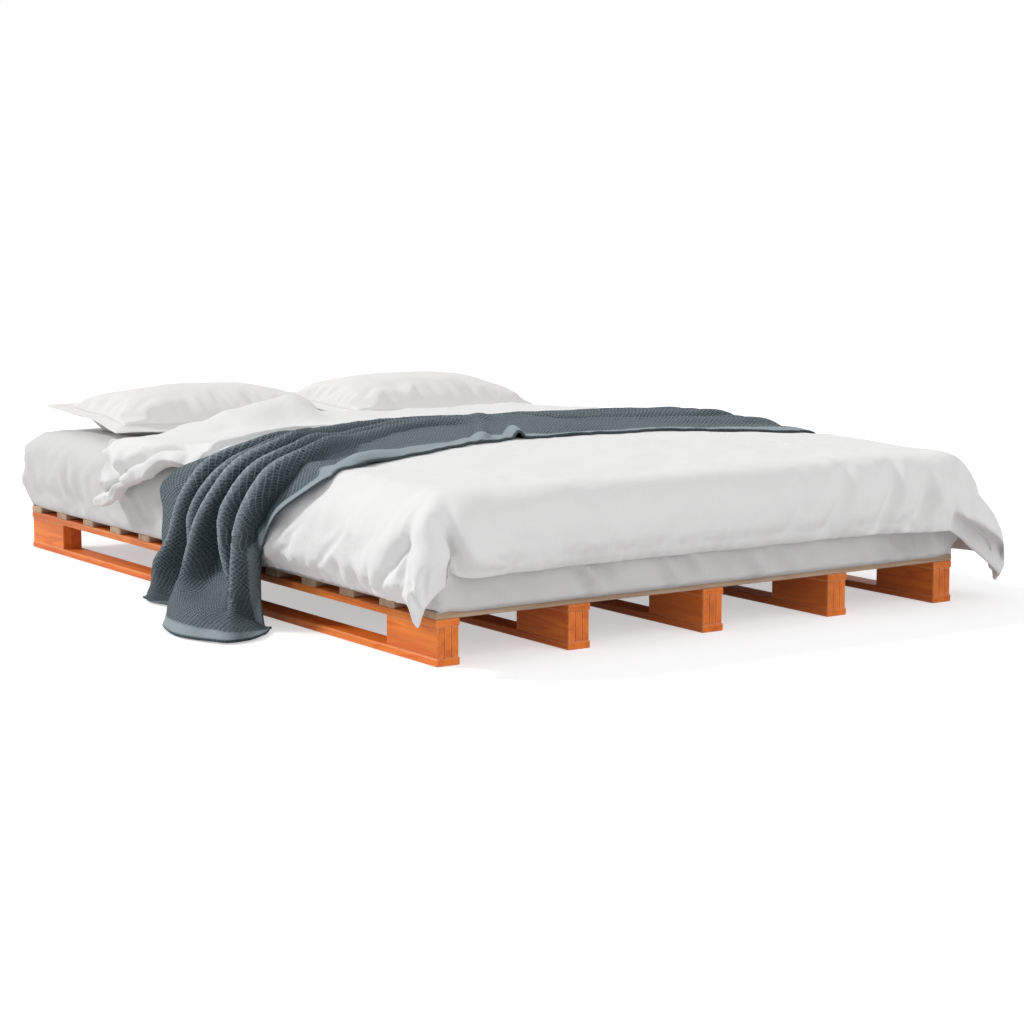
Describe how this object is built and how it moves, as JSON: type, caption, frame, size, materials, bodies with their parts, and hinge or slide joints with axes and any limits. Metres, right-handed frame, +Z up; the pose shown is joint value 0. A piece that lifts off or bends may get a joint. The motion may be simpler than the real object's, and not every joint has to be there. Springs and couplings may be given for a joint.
{
  "type": "pallet bed",
  "caption": "Low double bed frame of pallet runners and slats in stained pine, dressed with mattress, duvet, pillows and a knitted throw.",
  "frame": {"origin": "on the floor under the middle of the frame, on the underside of the middle runner", "axes": "+Z up; +Y along the bed towards the head; +X across the bed, away from the side where the throw hangs to the floor"},
  "size_m": [1.8018, 2.1252, 0.4365],
  "materials": {
    "stained_pine": "satin wax-brown stain",
    "plain_pine": "sawn, unfinished",
    "screw_steel": "zinc plated",
    "mattress_sheet": "cotton fitted sheet",
    "duvet_linen": "washed linen",
    "pillow_linen": "washed linen",
    "throw_knit": "waffle knit"
  },
  "bodies": {
    "root": {"runner_1_bottom_board": "stained_pine", "runner_1_top_board": "stained_pine", "runner_1_foot_block": "stained_pine", "runner_1_middle_block": "stained_pine", "runner_1_head_block": "stained_pine", "runner_2_bottom_board": "stained_pine", "runner_2_top_board": "stained_pine", "runner_2_foot_block": "stained_pine", "runner_2_middle_block": "stained_pine", "runner_2_head_block": "stained_pine", "runner_3_bottom_board": "stained_pine", "runner_3_top_board": "stained_pine", "runner_3_foot_block": "stained_pine", "runner_3_middle_block": "stained_pine", "runner_3_head_block": "stained_pine", "runner_4_bottom_board": "stained_pine", "runner_4_top_board": "stained_pine", "runner_4_foot_block": "stained_pine", "runner_4_middle_block": "stained_pine", "runner_4_head_block": "stained_pine", "runner_5_bottom_board": "stained_pine", "runner_5_top_board": "stained_pine", "runner_5_foot_block": "stained_pine", "runner_5_middle_block": "stained_pine", "runner_5_head_block": "stained_pine", "slat_01": "plain_pine", "slat_02": "plain_pine", "slat_03": "plain_pine", "slat_04": "plain_pine", "slat_05": "plain_pine", "slat_06": "plain_pine", "slat_07": "plain_pine", "slat_08": "plain_pine", "slat_09": "plain_pine", "slat_10": "plain_pine", "slat_11": "plain_pine", "slat_12": "plain_pine", "slat_13": "plain_pine", "foot_screw_1": "screw_steel", "foot_screw_2": "screw_steel", "foot_screw_3": "screw_steel", "foot_screw_4": "screw_steel", "foot_screw_5": "screw_steel", "head_screw_1": "screw_steel", "head_screw_2": "screw_steel", "head_screw_3": "screw_steel", "head_screw_4": "screw_steel", "head_screw_5": "screw_steel", "mattress": "mattress_sheet", "duvet": "duvet_linen", "pillow_left": "pillow_linen", "pillow_right": "pillow_linen", "throw_blanket": "throw_knit"}
  },
  "joints": []
}
